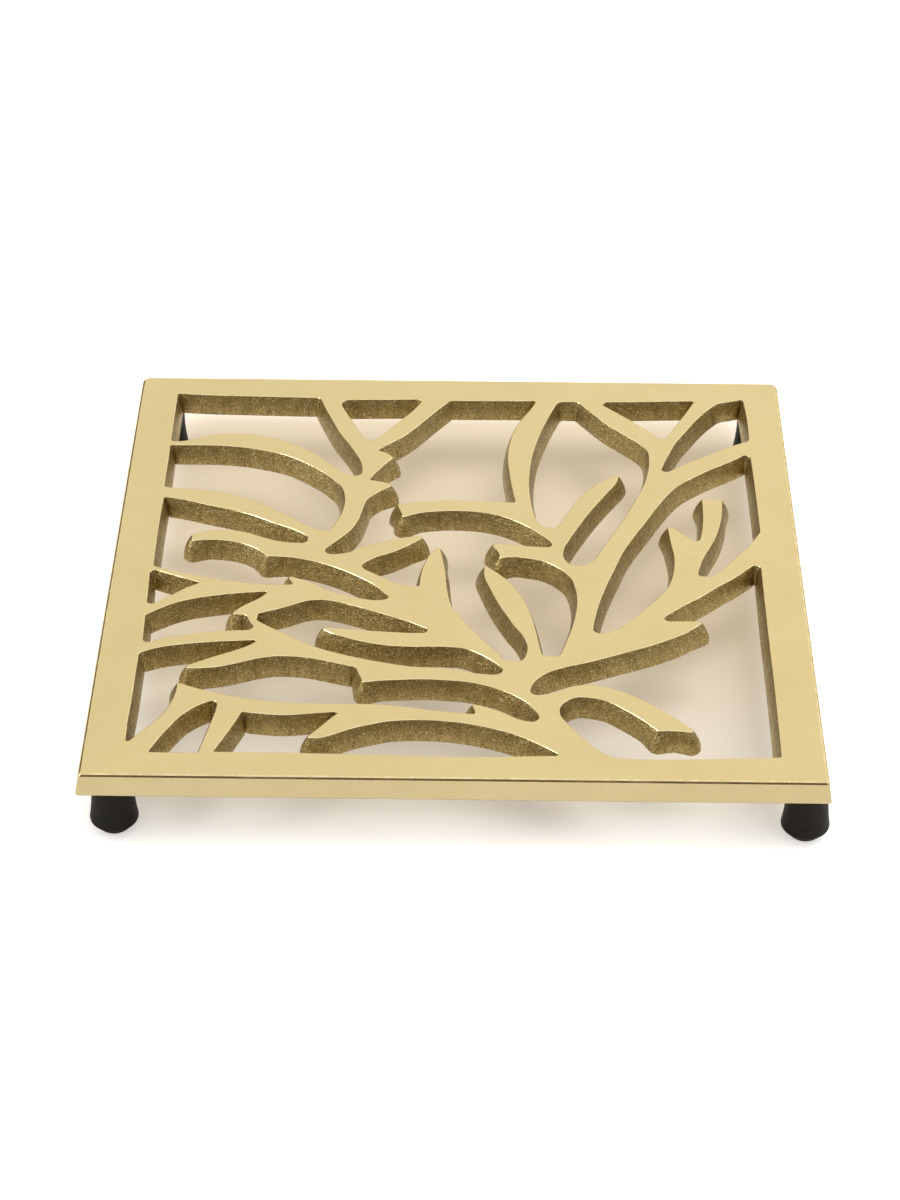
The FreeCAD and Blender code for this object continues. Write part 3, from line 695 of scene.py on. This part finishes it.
def rounded_ring(chains: list[list[Vector]], radii: list[float], pitch: float) -> list[Vector]:
    """Round the corners between the runs of a ring.

    Args:
        chains: The points of each run, corners among them.
        radii: The radius at the first corner of each run.
        pitch: How far apart the result's points may be.

    Returns:
        The points round the ring.
    """
    count = len(chains)
    lengths = [chain_length(chain) for chain in chains]
    turns = []
    cuts = []
    for index, chain in enumerate(chains):
        heading = chains[index - 1][-1] - chains[index - 1][-2]
        turn = heading.angle(chain[1] - chain[0])
        longest = LONGEST_CORNER_SHARE * min(lengths[index - 1], lengths[index])
        turns.append(turn)
        cuts.append(min(radii[index] * math.tan(turn / 2), longest))
    ring = []
    for index, chain in enumerate(chains):
        before = chains[index - 1]
        start = chain_point(before, lengths[index - 1] - cuts[index])
        end = chain_point(chain, cuts[index])
        pull = 4 / 3 * math.tan(turns[index] / 4) / math.tan(turns[index] / 2)
        steps = max(round(math.degrees(turns[index]) / CORNER_STEP), 2) + 1
        ring += interpolate_bezier(start, start.lerp(chain[0], pull), end.lerp(chain[0], pull),
                                   end, steps)
        last = lengths[index] - cuts[(index + 1) % count]
        spans = max(round((last - cuts[index]) / pitch), 1)
        ring += [chain_point(chain, cuts[index] + (last - cuts[index]) * step / spans)
                 for step in range(1, spans)]
    return ring


@dataclass
class Outline:
    """One closed outline of the plate's top, with the metal on its left."""

    TIP_TURN: ClassVar[float] = math.radians(6.0)
    LEAST_SPREAD: ClassVar[float] = 0.2
    points: list[Vector]
    set_back: float
    moves: list[Vector] | None = None

    def steps(self) -> list[Vector]:
        """Return for each point the step into the metal that moves both its edges by one unit."""
        if self.moves:
            return self.moves
        found = []
        for index, place in enumerate(self.points):
            before = (place - self.points[index - 1]).normalized()
            after = (self.points[(index + 1) % len(self.points)] - place).normalized()
            normals = [Vector((-way.y, way.x, 0.0)) for way in (before, after)]
            total = normals[0] + normals[1]
            found.append(total / max(1.0 + normals[0].dot(normals[1]), self.LEAST_SPREAD))
        return found

    def tips(self) -> list[Vector]:
        """Return the points where the metal ends in a tip."""
        found = []
        for index, place in enumerate(self.points):
            before = place - self.points[index - 1]
            after = self.points[(index + 1) % len(self.points)] - place
            if before.cross(after).z > 0 and before.angle(after) > self.TIP_TURN:
                found.append(place)
        return found

    def reaches(self, steps: list[Vector], ease: float, swell: float,
                spread: float) -> list[float]:
        """Return how far each point moves out of the metal towards the underside.

        Args:
            steps: The step into the metal at each point.
            ease: The share of the way to the middle of a narrow place that a point may go.
            swell: How much farther the metal reaches below its tips.
            spread: How far round a tip the metal is swollen.

        Returns:
            The distances, less than the full set-back in corners and narrow places.
        """
        if self.moves:
            return [self.set_back] * len(self.points)
        tips = self.tips()
        found = []
        for place, step in zip(self.points, steps):
            nearest = min(((place - tip).length for tip in tips), default=spread)
            reach = self.set_back + swell * max(1.0 - nearest / spread, 0.0)
            way = -step.normalized()
            for other in self.points:
                gap = other - place
                ahead = gap.dot(way)
                if ahead > NO_DISTANCE:
                    reach = min(reach, ease * gap.length_squared / (2 * ahead))
            found.append(reach)
        return found


@dataclass
class Plate:
    """The pierced plate, with rounded edges round its openings and its rim."""

    half_width: float = 100.0 * MM
    side_border: float = 11.3 * MM
    rear_border: float = 11.3 * MM
    front_border: float = 10.0 * MM
    rear_corner_radius: float = 2.2 * MM
    front_corner_radius: float = 0.8 * MM
    underside: float = 17.0 * MM
    thickness: float = 6.4 * MM
    draft: float = 1.5 * MM
    outer_draft: float = 1.0 * MM
    edge_radius: float = 0.20 * MM
    roll_radius: float = 1.2 * MM
    roll_angle: float = 25.0
    belt_radius: float = 0.12 * MM
    belt_width: float = 0.50 * MM
    belt_angle: float = 65.0
    lower_edge_radius: float = 0.15 * MM
    edge_rings: int = 4
    wall_rings: int = 7
    pitch: float = 0.8 * MM
    rim_pitch_ratio: int = 4
    fine_pitch: float = 0.3 * MM
    draft_ease: float = 0.88
    wall_fullness: float = 1.9
    tip_swell: float = 1.0 * MM
    tip_spread: float = 5.0 * MM
    hole_radius: float = 2.6 * MM
    hole_depth: float = 3.9 * MM
    hole_turns: int = 32
    sharp_angle: float = 35.0

    def window_place(self, share: Share) -> Vector:
        """Return the place in the plan of a point of an opening.

        Args:
            share: The point, in shares of the window inside the rim.

        Returns:
            The place.
        """
        width = 2 * (self.half_width - self.side_border)
        depth = 2 * self.half_width - self.front_border - self.rear_border
        return Vector((self.side_border - self.half_width + share[0] * width,
                       self.front_border - self.half_width + share[1] * depth, 0.0))

    def opening(self, runs: list[Run]) -> Outline:
        """Return the outline of one opening.

        Args:
            runs: Its runs, in window shares.

        Returns:
            The outline.
        """
        corners = [self.window_place(run[1]) for run in runs]
        chains = []
        for index, run in enumerate(runs):
            following = corners[(index + 1) % len(runs)]
            points = [self.window_place(share) for share in run[1:]] + [following]
            chains.append(smooth_chain(points, self.fine_pitch))
        radii = [run[0].value * MM for run in runs]
        return Outline(rounded_ring(chains, radii, self.pitch), self.draft)

    def rim(self) -> Outline:
        """Return the outline of the rim."""
        size = self.half_width
        corners = [Vector((x, y, 0.0)) for x, y in
                   ((-size, -size), (size, -size), (size, size), (-size, size))]
        chains = [smooth_chain([start, end], self.pitch)
                  for start, end in zip(corners, corners[1:] + corners[:1])]
        radii = [self.front_corner_radius] * 2 + [self.rear_corner_radius] * 2
        points = rounded_ring(chains, radii, self.rim_pitch_ratio * self.pitch)
        moves = []
        for place in points:
            radius = self.front_corner_radius if place.y < 0 else self.rear_corner_radius
            shares = [max(min(part / (size - radius), 1.0), -1.0) for part in place.xy]
            moves.append(Vector((-shares[0], -shares[1], 0.0)))
        return Outline(points, self.outer_draft, moves)

    def upper_edge(self, outer: bool) -> list[tuple[float, float]]:
        """Return the polished edge from the flat top to the side.

        Args:
            outer: Whether it is the rim, which the belt rolled over and left with a steep band.

        Returns:
            For each ring, how far it lies in the metal and how deep.
        """
        arcs = [(self.edge_radius, 0.0, 90.0, 0.0)]
        if outer:
            arcs = [(self.roll_radius, 0.0, self.roll_angle, 0.0),
                    (self.belt_radius, self.roll_angle, self.belt_angle, self.belt_width),
                    (self.belt_radius, self.belt_angle, 90.0, 0.0)]
        outward = depth = 0.0
        rows = [(outward, depth)]
        for radius, first, last, flat in arcs:
            angles = [math.radians(first + (last - first) * ring / self.edge_rings)
                      for ring in range(self.edge_rings + 1)]
            for before, after in zip(angles, angles[1:]):
                outward += radius * (math.sin(after) - math.sin(before))
                depth += radius * (math.cos(before) - math.cos(after))
                rows.append((outward, depth))
            if flat:
                outward += flat * math.cos(angles[-1])
                depth += flat * math.sin(angles[-1])
                rows.append((outward, depth))
        return [(outward - place, depth) for place, depth in rows]

    def profile(self, outer: bool) -> list[tuple[float, float, PlateFace]]:
        """Return the edge from the flat top round and down to the flat underside.

        Args:
            outer: Whether it is the rim.

        Returns:
            For each ring, how far it lies in the metal, how deep, and the surface above it.
        """
        rows = [(*row, PlateFace.EDGE) for row in self.upper_edge(outer)]
        start = rows[-1][1]
        lower = self.thickness - self.lower_edge_radius
        for ring in range(1, self.wall_rings + 1):
            rows.append((0.0, start + (lower - start) * ring / self.wall_rings,
                         PlateFace.SIDE if outer else PlateFace.WALL))
        for ring in range(1, self.edge_rings + 1):
            angle = math.pi / 2 * ring / self.edge_rings
            rows.append((self.lower_edge_radius * (1 - math.cos(angle)),
                         lower + self.lower_edge_radius * math.sin(angle),
                         PlateFace.UNDERSIDE))
        return rows

    def wall(self, shape: bmesh.types.BMesh, outline: Outline) -> tuple[list, list]:
        """Extrude the edge of the plate down round one outline.

        Args:
            shape: The plate's shape.
            outline: The outline.

        Returns:
            The edges of the upper ring and of the lower ring.
        """
        steps = outline.steps()
        reaches = outline.reaches(steps, self.draft_ease, self.tip_swell, self.tip_spread)
        outer = outline.moves is not None
        rows = self.profile(outer)
        top = self.underside + self.thickness

        def placed(row: tuple[float, float, PlateFace], index: int) -> Vector:
            """Return the place of one point of a ring.

            Args:
                row: How far the ring lies in the metal, how deep, and the surface above it.
                index: The point's place in the outline.

            Returns:
                The place.
            """
            share = row[1] / self.thickness
            if not outer:
                share = 1 - (1 - share) ** self.wall_fullness
            sideways = row[0] - reaches[index] * share
            place = outline.points[index] + steps[index] * sideways
            place.z = top - row[1]
            return place

        verts = [shape.verts.new(placed(rows[0], index)) for index in range(len(steps))]
        upper = [shape.edges.new(pair) for pair in zip(verts, verts[1:] + verts[:1])]
        loop = upper
        ring = {vert: index for index, vert in enumerate(verts)}
        for row in rows[1:]:
            made = bmesh.ops.extrude_edge_only(shape, edges=loop)["geom"]
            fresh = {}
            for vert in of_kind(made, bmesh.types.BMVert):
                above = next(e.other_vert(vert) for e in vert.link_edges
                             if e.other_vert(vert) in ring)
                fresh[vert] = ring[above]
                vert.co = placed(row, ring[above])
            for face in of_kind(made, bmesh.types.BMFace):
                face.material_index = row[2].value
            loop = [edge for edge in of_kind(made, bmesh.types.BMEdge)
                    if all(vert in fresh for vert in edge.verts)]
            ring = fresh
        return upper, loop

    def peg_hole(self, shape: bmesh.types.BMesh, leg: Leg) -> list:
        """Sink the blind hole of one peg into the underside.

        Args:
            shape: The plate's shape.
            leg: The peg's leg.

        Returns:
            The edges of the hole's mouth.
        """
        centre = Matrix.Translation(leg.place(self.underside))
        made = bmesh.ops.create_circle(shape, cap_ends=False, segments=self.hole_turns,
                                       radius=self.hole_radius, matrix=centre)
        mouth = list({edge for vert in made["verts"] for edge in vert.link_edges})
        walls = bmesh.ops.extrude_edge_only(shape, edges=mouth)["geom"]
        verts = of_kind(walls, bmesh.types.BMVert)
        bmesh.ops.translate(shape, verts=verts, vec=(0.0, 0.0, self.hole_depth))
        loop = [edge for edge in of_kind(walls, bmesh.types.BMEdge)
                if all(vert in verts for vert in edge.verts)]
        cap = bmesh.ops.triangle_fill(shape, use_beauty=True, edges=loop)["geom"]
        for face in of_kind(walls + cap, bmesh.types.BMFace):
            face.material_index = PlateFace.UNDERSIDE.value
        return mouth

    def shape(self) -> bmesh.types.BMesh:
        """Return the plate's shape, with the place of each face's finish set."""
        shape = bmesh.new()
        upper, lower = self.wall(shape, self.rim())
        for runs in OPENINGS.values():
            top_ring, bottom_ring = self.wall(shape, self.opening(runs))
            upper += top_ring
            lower += bottom_ring
        for leg in Leg:
            lower += self.peg_hole(shape, leg)
        for edges, surface in ((upper, PlateFace.TOP), (lower, PlateFace.UNDERSIDE)):
            made = bmesh.ops.triangle_fill(shape, use_beauty=True, edges=edges)["geom"]
            for face in of_kind(made, bmesh.types.BMFace):
                face.material_index = surface.value
        bmesh.ops.remove_doubles(shape, verts=shape.verts, dist=WELD_DISTANCE)
        bmesh.ops.recalc_face_normals(shape, faces=shape.faces)
        for face in shape.faces:
            face.smooth = True
        for edge in shape.edges:
            angle = edge.calc_face_angle(math.pi) if len(edge.link_faces) == 2 else math.pi
            edge.smooth = angle < math.radians(self.sharp_angle)
        return shape

    def build(self) -> bpy.types.Object:
        """Return the plate as a piece that stands for the CAD plate."""
        finishes = {
            PlateFace.TOP: BrushedBrass("brass_top"),
            PlateFace.EDGE: PolishedBrass("brass_edge"),
            # Painted light: the rim's sides take a lighter copy of the brushed top brass.
            PlateFace.SIDE: BrushedBrass("brass_side_painted_lighter", light=(0.79, 0.655, 0.365),
                                         deep=(0.73, 0.60, 0.325), across=(0.02, 0.3, 1.0),
                                         along=(0.3, 0.02, 1.0)),
            PlateFace.WALL: SandCastBrass("brass_wall"),
            PlateFace.UNDERSIDE: SandCastBrass("brass_underside", high=(0.60, 0.48, 0.25),
                                               deep=(0.30, 0.22, 0.10)),
        }
        materials = [finishes[surface].material() for surface in PlateFace]
        piece = finished("plate", self.shape(), materials)
        modifier = piece.modifiers.new("flat_faces", "WEIGHTED_NORMAL")
        modifier.keep_sharp = True
        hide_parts(PLATE_NODE)
        return piece


@dataclass
class Foot:
    """One push-on rubber foot, waisted at the top and rounded under its low belly."""

    leg: Leg
    height: float = 17.0 * MM
    top_radius: float = 5.80 * MM
    waist_radius: float = 5.80 * MM
    waist_height: float = 11.0 * MM
    flare_radius: float = 6.15 * MM
    flare_height: float = 7.0 * MM
    belly_radius: float = 6.70 * MM
    belly_height: float = 3.2 * MM
    base_radius: float = 3.9 * MM
    bore_radius: float = 3.85 * MM
    bore_floor: float = 4.2 * MM
    bevel: float = 0.5 * MM
    bevel_rings: int = 5
    sharp_angle: float = 50.0
    turns: int = 64

    def build(self, material: bpy.types.Material) -> bpy.types.Object:
        """Turn the foot in place.

        Args:
            material: The rubber.

        Returns:
            The foot, which stands for its CAD node.
        """
        profile = [(0.0, 0.0), (self.base_radius, 0.0), (self.belly_radius, self.belly_height),
                   (self.flare_radius, self.flare_height),
                   (self.waist_radius, self.waist_height), (self.top_radius, self.height),
                   (self.bore_radius, self.height), (self.bore_radius, self.bore_floor),
                   (0.0, self.bore_floor)]
        shape = bmesh.new()
        verts = [shape.verts.new((radius, 0.0, height)) for radius, height in profile]
        edges = [shape.edges.new(pair) for pair in zip(verts, verts[1:])]
        bmesh.ops.spin(shape, geom=verts + edges, cent=(0.0, 0.0, 0.0), axis=(0.0, 0.0, 1.0),
                       angle=2 * math.pi, steps=self.turns, use_merge=True)
        bmesh.ops.remove_doubles(shape, verts=shape.verts, dist=WELD_DISTANCE)
        bmesh.ops.recalc_face_normals(shape, faces=shape.faces)
        heights = (0.0, self.belly_height, self.flare_height, self.waist_height)
        rounded = [edge for edge in shape.edges if any(
            all(abs(vert.co.z - height) < WELD_DISTANCE and vert.co.xy.length > self.bore_radius
                for vert in edge.verts) for height in heights)]
        bmesh.ops.bevel(shape, geom=rounded, offset=self.bevel, offset_type="OFFSET",
                        affect="EDGES", segments=self.bevel_rings, profile=0.5, material=-1)
        for face in shape.faces:
            face.smooth = True
        for edge in shape.edges:
            edge.smooth = edge.calc_face_angle(0.0) < math.radians(self.sharp_angle)
        bmesh.ops.translate(shape, verts=shape.verts, vec=self.leg.place(0.0))
        name = self.leg.name.lower()
        piece = finished(f"foot_{name}", shape, [material])
        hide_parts(f"rubber_foot_{name}")
        return piece


@dataclass(frozen=True)
class Lamp:
    """A square soft light that faces the trivet, seen in its mirroring or lighting it matte."""

    name: str
    place: Triple
    size: float
    power: float
    mirrored: bool = True

    def build(self) -> None:
        """Hang the light."""
        data = bpy.data.lights.new(self.name, "AREA")
        data.size = self.size
        data.energy = self.power
        lamp = bpy.data.objects.new(self.name, data)
        bpy.context.scene.collection.objects.link(lamp)
        place = Vector(self.place)
        turn = place.to_track_quat("Z", "Y").to_matrix().to_4x4()
        lamp.matrix_world = Matrix.Translation(place) @ turn
        lamp.visible_glossy = self.mirrored
        lamp.visible_diffuse = not self.mirrored


LAMPS = [
    Lamp("key", (0.45, 0.15, 1.15), 0.8, 5.0, mirrored=False),
    Lamp("glint", (-0.748, -0.055, 0.803), 0.30, 2.8),
    Lamp("left_strip", (-0.88, -0.50, 0.44), 0.30, 1.3),
    Lamp("right_strip", (1.05, -0.25, 0.12), 0.30, 0.35),
]

# Where the surroundings are dark, as limits on the parts of a direction: where it is still
# clear and where it is fully dark. The first lies low in front and the second low at the rear
# on the left.
DARK_ROOM = [
    [("Z", 0.64, 0.50), ("Y", -0.20, -0.45)],
    [("Z", 0.62, 0.50), ("Y", 0.30, 0.45), ("X", -0.22, -0.36)],
]


@dataclass
class Studio:
    """The floor, the lights and the camera."""

    azimuth: float = 0.405
    elevation: float = 35.827
    roll: float = 0.386
    distance: float = 0.9178
    target: Vector = field(default_factory=lambda: Vector((-0.00181, -0.01879, 0.0234)))
    lens: float = 96.168
    sensor_width: float = 36.0
    clip_start: float = 0.05
    floor_size: float = 4.0
    floor_far: Colour = (1.30, 1.29, 1.28)
    # The painted warm shade under the trivet, and its greyer front part; the floor is white away from it.
    floor_painted_shade: Colour = (0.70, 0.595, 0.445)
    floor_front_painted_shade: Colour = (0.70, 0.66, 0.60)
    # The share of the floor that the camera sees glowing its own colour: painted light that lifts its
    # shadows.
    floor_painted_glow: float = 0.45
    floor_gain: float = 1.62
    floor_mirrored: Colour = (0.95, 0.93, 0.90)
    floor_lit: Colour = (0.80, 0.76, 0.71)
    # Where the painted shade under the trivet lies and how it fades out.
    painted_shade_side_shift: float = 0.0113
    painted_shade_rear_shift: float = 0.0128
    painted_shade_corner: float = 0.02
    painted_shade_reach: Span = (0.0953, 0.1193)
    front_painted_shade_reach: float = 0.095
    room_sides: Span = (-0.14, 0.10)
    room_left: Colour = (1.01, 1.01, 0.99)
    room_right: Colour = (1.10, 1.10, 1.08)
    dark_room: Colour = (0.10, 0.065, 0.03)
    backdrop: Colour = (1.0, 1.0, 1.0)
    world_light: Colour = (1.0, 0.985, 0.965)
    world_strength: float = 0.75

    def camera(self) -> None:
        """Make the camera at the photograph's place."""
        azimuth, elevation, roll = map(math.radians, (self.azimuth, self.elevation, self.roll))
        back = Vector((math.sin(azimuth) * math.cos(elevation),
                       -math.cos(azimuth) * math.cos(elevation), math.sin(elevation)))
        right = Vector((0.0, 0.0, 1.0)).cross(back).normalized()
        above = back.cross(right)
        turned = math.cos(roll) * right + math.sin(roll) * above
        upright = math.cos(roll) * above - math.sin(roll) * right
        data = bpy.data.cameras.new("camera")
        data.lens = self.lens
        data.sensor_width = self.sensor_width
        data.clip_start = self.clip_start
        camera = bpy.data.objects.new("camera", data)
        bpy.context.scene.collection.objects.link(camera)
        axes = Matrix((turned, upright, back)).transposed()
        camera.matrix_world = Matrix.Translation(self.target + back * self.distance) @ axes.to_4x4()
        bpy.context.scene.camera = camera

    def floor(self) -> None:
        """Make the pale floor, which is seen white and keeps the trivet's shadow, with painted warm shade
        under the trivet and a painted glow that lifts the shadow.
        """
        material = bpy.data.materials.new("floor")
        nodes = Nodes(material)
        watched = nodes.seen_by("Is Camera Ray")
        tone = self.floor_colour_with_painted_shade(nodes)
        gained = nodes.add("VectorMath", {0: tone, "Scale": self.floor_gain}, operation="SCALE")
        mirrored = nodes.blend(nodes.seen_by("Is Glossy Ray", "Is Transmission Ray"),
                               self.floor_lit, self.floor_mirrored)
        colour = nodes.blend(watched, mirrored, gained.outputs[0])
        # Part of the floor glows for the camera: painted light that lifts the trivet's shadow and carries
        # the painted shade.
        surface = nodes.mixed(nodes.math("MULTIPLY", watched, self.floor_painted_glow),
                              nodes.add("BsdfDiffuse", {"Color": colour}),
                              nodes.add("Emission", {"Color": tone}))
        nodes.add("OutputMaterial", {"Surface": surface})
        shape = bmesh.new()
        bmesh.ops.create_grid(shape, x_segments=1, y_segments=1, size=self.floor_size / 2)
        piece = standing("floor", shape, [material])

    def floor_colour_with_painted_shade(self, nodes: Nodes) -> Socket:
        """Return the floor's colour: painted warm shade under the trivet, white away from it.

        Args:
            nodes: The floor's nodes.

        Returns:
            The colour.
        """
        axes = nodes.axes("Object")
        across = nodes.math("ADD", nodes.math("ABSOLUTE", axes["X"]), self.painted_shade_side_shift)
        along = nodes.math("ABSOLUTE", nodes.math("ADD", axes["Y"], -self.painted_shade_rear_shift))
        farther = nodes.math("SMOOTH_MAX", across, along, self.painted_shade_corner)
        # The painted shade grows greyer towards the front.
        forward = nodes.ramp(axes["Y"], 0.0, -self.front_painted_shade_reach, kind="LINEAR")
        return nodes.blend(nodes.ramp(farther, *self.painted_shade_reach),
                           nodes.blend(forward, self.floor_painted_shade, self.floor_front_painted_shade),
                           self.floor_far)

    def world(self) -> None:
        """Make the white surroundings, in which shining metal also mirrors a dark room."""
        world = bpy.data.worlds.new("surroundings")
        bpy.context.scene.world = world
        nodes = Nodes(world)
        seen = nodes.blend(nodes.seen_by("Is Camera Ray"), self.room_tone(nodes), self.backdrop)
        surface = nodes.mixed(
            nodes.seen_by("Is Camera Ray", "Is Glossy Ray", "Is Transmission Ray"),
            nodes.add("Background", {"Color": self.world_light,
                                     "Strength": self.world_strength}),
            nodes.add("Background", {"Color": seen, "Strength": 1.0}))
        nodes.add("OutputWorld", {"Surface": surface})

    def room_tone(self, nodes: Nodes) -> Socket:
        """Return the colour that metal mirrors, white but for the dark parts of the room.

        Args:
            nodes: The world's nodes.

        Returns:
            The colour.
        """
        axes = nodes.axes("Generated")
        tone = nodes.blend(nodes.ramp(axes["X"], *self.room_sides, kind="LINEAR"),
                           self.room_left, self.room_right)
        for limits in DARK_ROOM:
            darkness = 1.0
            for axis, clear, dark in limits:
                darkness = nodes.math("MULTIPLY", nodes.ramp(axes[axis], clear, dark), darkness)
            tone = nodes.blend(darkness, tone, self.dark_room)
        return tone

    def build(self) -> None:
        """Make the whole studio."""
        self.camera()
        self.floor()
        self.world()
        for lamp in LAMPS:
            lamp.build()
        bpy.context.scene.view_settings.view_transform = "Standard"


def dress_pegs() -> None:
    """Give the CAD pegs their turned brass."""
    material = PolishedBrass("brass_peg").material()
    for name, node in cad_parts.items():
        if name.startswith("leg_peg"):
            node.data.materials.clear()
            node.data.materials.append(material)


def main() -> None:
    """Build the trivet and its studio."""
    logging.basicConfig(level=logging.INFO)
    bpy.context.view_layer.update()
    Plate().build()
    rubber = BlackRubber("rubber").material()
    for leg in Leg:
        Foot(leg).build(rubber)
    dress_pegs()
    Studio().build()
    bpy.context.view_layer.update()


if __name__ == "__main__":
    main()
